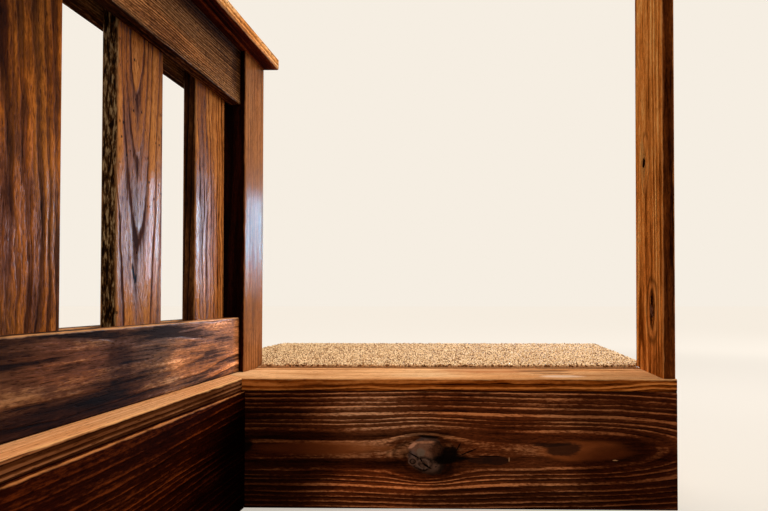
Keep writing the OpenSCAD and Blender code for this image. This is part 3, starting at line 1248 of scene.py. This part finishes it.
@dataclass(frozen=True)
class DeckFrame:
    """The raw framing timber and the floor panel."""

    joists: tuple[str, ...] = (
        "front_rim", "back_rim", "left_rim", "right_rim", "mid_joist",
        "ledge_joist_inner", "ledge_joist_outer", "ledge_blocks",
    )
    knot: Knot = Knot(0.1, 0.02, 0.012, 2.0)
    panel: Figure = Figure(80, ring=0.02, pith_depth=0.09, wander=0.03, slope=0.05)
    pale: Colour = srgb(226, 198, 154)
    deep: Colour = srgb(196, 152, 102)
    panel_pale: Colour = srgb(216, 184, 138)
    panel_deep: Colour = srgb(184, 142, 94)

    def finish(self) -> None:
        """Dresses the framing and the panel."""
        for seed, node in enumerate(self.joists, 70):
            figure = Figure(seed, pith_across=0.03, pith_depth=0.05, slope=0.03, knots=(self.knot,))
            dress(node, Timber(node, figure, Finish.RAW).raw(self.pale, self.deep))
        panel = Timber("deck_panel", self.panel, Finish.RAW)
        dress("deck_panel", panel.raw(self.panel_pale, self.panel_deep))


@dataclass(frozen=True)
class Wool:
    """The carpet's wool: the pale, middle and dark yarns of its pile, the dark also painted as shade low in
    the pile, and its backing.
    """

    pale: Colour = srgb(238, 204, 158)
    middle: Colour = srgb(192, 146, 96)
    dark: Colour = srgb(104, 66, 34)
    woven: Colour = srgb(186, 144, 98)
    roughness: float = 0.95
    gloss: float = 0.08
    dark_below: float = 6.5 * MM
    pale_below: float = 1.5 * MM

    def pile(self) -> Material:
        """Makes the pile's material.

        Returns:
            The material.
        """
        sheet = new_sheet("carpet_pile")
        place = sheet.add("TexCoord").outputs["Object"]
        yarn = sheet.noise(place, 260, 1.0)
        drift = sheet.noise(place, 16, 2.0)
        colour = sheet.ramp(yarn, ((0.39, self.dark), (0.46, self.middle), (0.54, self.pale)))
        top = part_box("carpet")[1].z
        # Darker towards the pile's roots: painted shade between the tufts.
        deep = sheet.remap(sheet.split(place)[2], top - self.dark_below, top - self.pale_below, 0.5, 0.0)
        colour = sheet.mix(deep, colour, self.dark)
        colour = sheet.mix(sheet.remap(drift, 0.35, 0.7, 0.0, 0.25), colour, self.middle)
        return sheet.close(sheet.surface(colour, self.roughness, self.gloss))

    def backing(self) -> Material:
        """Makes the woven backing's material."""
        sheet = new_sheet("carpet_backing")
        return sheet.close(sheet.surface(self.woven, self.roughness))


@dataclass
class Carpet:
    """The cut-pile carpet: a thin backing with rows of tufts, trimmed round both posts.

    Each push moves the tufts about in one direction, by its wave's length and its share of the jitter.
    """

    wool: Wool = Wool()
    backing: float = 2.4 * MM
    slit: float = 1.0 * MM
    spare: float = 10 * MM
    spacing: float = 4.6 * MM
    tuft_width: float = 5.4 * MM
    tuft_height: float = 7.6 * MM
    tuft_corners: int = 12
    clear: float = 0.62
    jitter: float = 3.4 * MM
    pushes: tuple[tuple[str, float, float], ...] = (
        ("X", 5.6 * MM, 1.0), ("Y", 4.9 * MM, 1.0), ("Z", 7.2 * MM, 0.9), ("NORMAL", 2.2 * MM, 0.5),
    )

    def __post_init__(self) -> None:
        """Reads the carpet's place and the posts that it is cut round."""
        self.low, self.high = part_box("carpet")
        self.cuts: list[tuple[float, float, float]] = []
        for post in ("corner_newel", "wall_post"):
            low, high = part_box(post)
            self.cuts.append((low.x - self.slit, high.x + self.slit, high.y + self.slit))

    def lay_backing(self) -> Piece:
        """Cuts the backing to the floor's shape.

        Returns:
            The backing's object.
        """
        size = self.high - self.low
        middle = (self.low + self.high) / 2
        middle.z = self.low.z + self.backing / 2
        slab = add_box("carpet_backing", middle, Vector((size.x, size.y, self.backing)))
        front = self.low.y - self.spare
        for left, right, back in self.cuts:
            right = min(right, self.high.x + self.spare)
            centre = Vector(((left + right) / 2, (front + back) / 2, self.low.z))
            cut_with(slab, add_box("cutter", centre, Vector((right - left, back - front, 0.05))))
        return slab

    def plant(self, name: str, front: float, back: float) -> Piece:
        """Plants rows of tufts between two lines across the carpet.

        Args:
            name: The piece's name.
            front: The first row's place.
            back: Where the rows end.

        Returns:
            The tufts, as one mesh.
        """
        step = self.spacing
        columns = int((self.high.x - self.low.x - self.tuft_width) / step)
        rows = max(1, round((back - front) / (2 * step)))
        start = Vector((self.low.x + self.tuft_width * 0.6, front, self.high.z - self.tuft_height * 0.36))
        bpy.ops.object.select_all(action="DESELECT")
        bpy.ops.mesh.primitive_ico_sphere_add(subdivisions=1, radius=0.5, location=start)
        tuft = bpy.context.object
        tuft.name = name
        tuft.scale = (self.tuft_width, self.tuft_width, self.tuft_height)
        bpy.ops.object.transform_apply(location=True, rotation=True, scale=True)
        for count, shift in ((2, (step / 2, step, 0)), (columns, (step, 0, 0)), (rows, (0, 2 * step, 0))):
            change(
                tuft, "ARRAY", count=count, use_relative_offset=False, use_constant_offset=True,
                constant_offset_displace=shift,
            )
        self.trim(tuft)
        for direction, wave, share in self.pushes:
            texture = bpy.data.textures.new(f"{name}_{direction.lower()}", "CLOUDS")
            texture.noise_scale = wave
            texture.noise_depth = 0
            change(
                tuft, "DISPLACE", texture=texture, texture_coords="LOCAL", direction=direction,
                mid_level=0.5, strength=self.jitter * share,
            )
        bpy.ops.object.shade_smooth()
        return tuft

    def trim(self, tuft: Piece) -> None:
        """Takes out the tufts that would stand in a post.

        Args:
            tuft: The rows of tufts, still in their grid.
        """
        corners = self.tuft_corners
        clear = self.tuft_width * self.clear
        bpy.ops.object.mode_set(mode="EDIT")
        bpy.ops.mesh.select_mode(type="VERT")
        bpy.ops.mesh.select_all(action="DESELECT")
        bpy.ops.object.mode_set(mode="OBJECT")
        verts = tuft.data.vertices
        for first in range(0, len(verts), corners):
            tip = sum((verts[first + n].co for n in range(corners)), Vector()) / corners
            for left, right, back in self.cuts:
                if left - clear < tip.x < right + clear and tip.y < back + clear:
                    for n in range(corners):
                        verts[first + n].select = True
        bpy.ops.object.mode_set(mode="EDIT")
        bpy.ops.mesh.delete(type="VERT")
        bpy.ops.object.mode_set(mode="OBJECT")

    def finish(self) -> None:
        """Lays the backing and plants the pile on it."""
        slab = self.lay_backing()
        slab.data.materials.append(self.wool.backing())
        middle = (self.low.y + self.high.y) / 2
        pile = self.wool.pile()
        strips = (
            self.plant("carpet_pile_front", self.low.y + self.tuft_width * 0.4, middle),
            self.plant("carpet_pile_back", middle + self.spacing * 0.5, self.high.y - self.tuft_width),
        )
        for strip in strips:
            strip.data.materials.append(pile)
            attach(strip, BODY)
        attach(slab, BODY)
        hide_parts("carpet")
        for piece in (slab, *strips):
            log.info("laid %s", piece.name)


@dataclass(frozen=True)
class Lamp:
    """A soft rectangular light, which may light only the surfaces or only show in their gloss."""

    name: str
    place: tuple[float, float, float]
    aim: tuple[float, float, float]
    size: tuple[float, float]
    watts: float
    colour: Colour
    diffuse: bool = True
    glossy: bool = True

    def hang(self) -> None:
        """Adds the light to the scene."""
        data = bpy.data.lights.new(self.name, "AREA")
        data.shape = "RECTANGLE"
        data.size, data.size_y = self.size
        data.energy = self.watts
        data.color = self.colour[:3]
        light = bpy.data.objects.new(self.name, data)
        light.location = self.place
        light.rotation_euler = (Vector(self.aim) - Vector(self.place)).to_track_quat("-Z", "Y").to_euler()
        light.visible_camera = False
        light.visible_diffuse = self.diffuse
        light.visible_glossy = self.glossy
        bpy.context.scene.collection.objects.link(light)


WARM = (1.0, 0.94, 0.86, 1.0)
COOL = (0.96, 0.96, 1.0, 1.0)
SKY = (0.56, 0.75, 1.0, 1.0)
DUSK = (0.22, 0.66, 1.0, 1.0)
LAMPS = (
    Lamp("overhead", (0.35, 0.95, 2.5), (0.0, 0.15, 0.2), (1.6, 1.2), 48, WARM),
    Lamp("side", (3.35, 1.85, 2.05), (-0.1, 0.2, 0.4), (2.1, 1.8), 90, COOL, glossy=False),
    Lamp("fill", (0.0, -2.3, 1.5), (0.05, 0.2, 0.3), (1.6, 1.0), 16, WARM),
    Lamp("window", (0.375, 1.36, 0.53), (-0.425, 0.76, 0.51), (0.42, 0.38), 36, SKY, diffuse=False),
    Lamp("far_window", (0.44, 2.05, 0.635), (-0.28, 0.3, 0.49), (0.24, 0.34), 30, DUSK, diffuse=False),
)


@dataclass(frozen=True)
class Studio:
    """The camera at the photograph's viewing angle, the lights, the pale floor and the world.

    The camera's place is in metres, its turns are in degrees and the picture's measures in pixels. The
    floor's colour is darker far away, where its own glow is stronger, so that it shows evenly pale.
    """

    place: tuple[float, float, float] = (0.1041, -0.591, 0.3147)
    tilt: float = 90.817
    turn: float = 0.976
    focal: float = 545.05
    picture: tuple[int, int] = (768, 511)
    middle: tuple[float, float] = (469.9, 290.2)
    sensor_mm: float = 36.0
    floor_near: Colour = srgb(150, 146, 140)
    floor_far: Colour = srgb(84, 82, 79)
    floor_unseen: Colour = srgb(140, 134, 126)
    floor_glow: Colour = srgb(248, 238, 224)
    world_light: Colour = (1.0, 0.97, 0.93, 1.0)
    world_shown: Colour = srgb(246, 238, 226)

    def camera(self) -> None:
        """Sets the camera up."""
        data = bpy.data.cameras.new("camera")
        wide, high = self.picture
        data.sensor_width = self.sensor_mm
        data.lens = self.focal / wide * self.sensor_mm
        data.shift_x = (wide / 2 - self.middle[0]) / wide
        data.shift_y = (self.middle[1] - high / 2) / wide
        data.clip_start = 0.01
        data.clip_end = 100
        view = bpy.data.objects.new("camera", data)
        view.location = self.place
        view.rotation_euler = (math.radians(self.tilt), 0.0, math.radians(self.turn))
        bpy.context.scene.collection.objects.link(view)
        bpy.context.scene.camera = view

    def floor(self) -> None:
        """Lays the floor."""
        bpy.ops.mesh.primitive_plane_add(size=40, location=(0, 0, 0))
        plane = bpy.context.object
        plane.name = "floor"
        sheet = new_sheet("pale_floor")
        seen = sheet.seen()
        length = sheet.add("VectorMath", operation="LENGTH")
        sheet.feed(length.inputs[0], sheet.add("TexCoord").outputs["Object"])
        away = length.outputs["Value"]
        shown = sheet.mix(sheet.remap(away, 1.2, 2.8), self.floor_near, self.floor_far)
        shader = sheet.surface(sheet.mix(seen, self.floor_unseen, shown), 0.9, 0.0)
        glow = sheet.remap(away, 1.0, 3.3, 0.53, 0.95)
        shader.inputs["Emission Color"].default_value = self.floor_glow
        sheet.feed(shader.inputs["Emission Strength"], sheet.times(seen, glow))
        plane.data.materials.append(sheet.close(shader))

    def world(self) -> None:
        """Makes the world's light plain, and pale where it shows."""
        sheet = NodeSheet(bpy.data.worlds.new("world"))
        both = sheet.add("MixShader")
        sheet.feed(both.inputs[0], sheet.seen())
        for place, colour, strength in ((1, self.world_light, 0.4), (2, self.world_shown, 1.0)):
            light = sheet.add("Background")
            light.inputs["Color"].default_value = colour
            light.inputs["Strength"].default_value = strength
            sheet.feed(both.inputs[place], light.outputs[0])
        bpy.context.scene.world = sheet.close(both)
        bpy.context.scene.view_settings.view_transform = "Standard"

    def build(self) -> None:
        """Sets up the camera, the lights, the floor and the world."""
        self.camera()
        for lamp in LAMPS:
            lamp.hang()
        self.floor()
        self.world()


def main() -> None:
    """Builds the studio, then dresses each sub-assembly in order."""
    logging.basicConfig(level=logging.INFO, format="%(name)s: %(message)s")
    bpy.ops.object.select_all(action="DESELECT")
    Studio().build()
    for part in (Step(), Ledge(), Guard(), WallPost(), DeckFrame(), Carpet()):
        part.finish()
        log.info("finished %s", type(part).__name__)


if __name__ == "__main__":
    main()
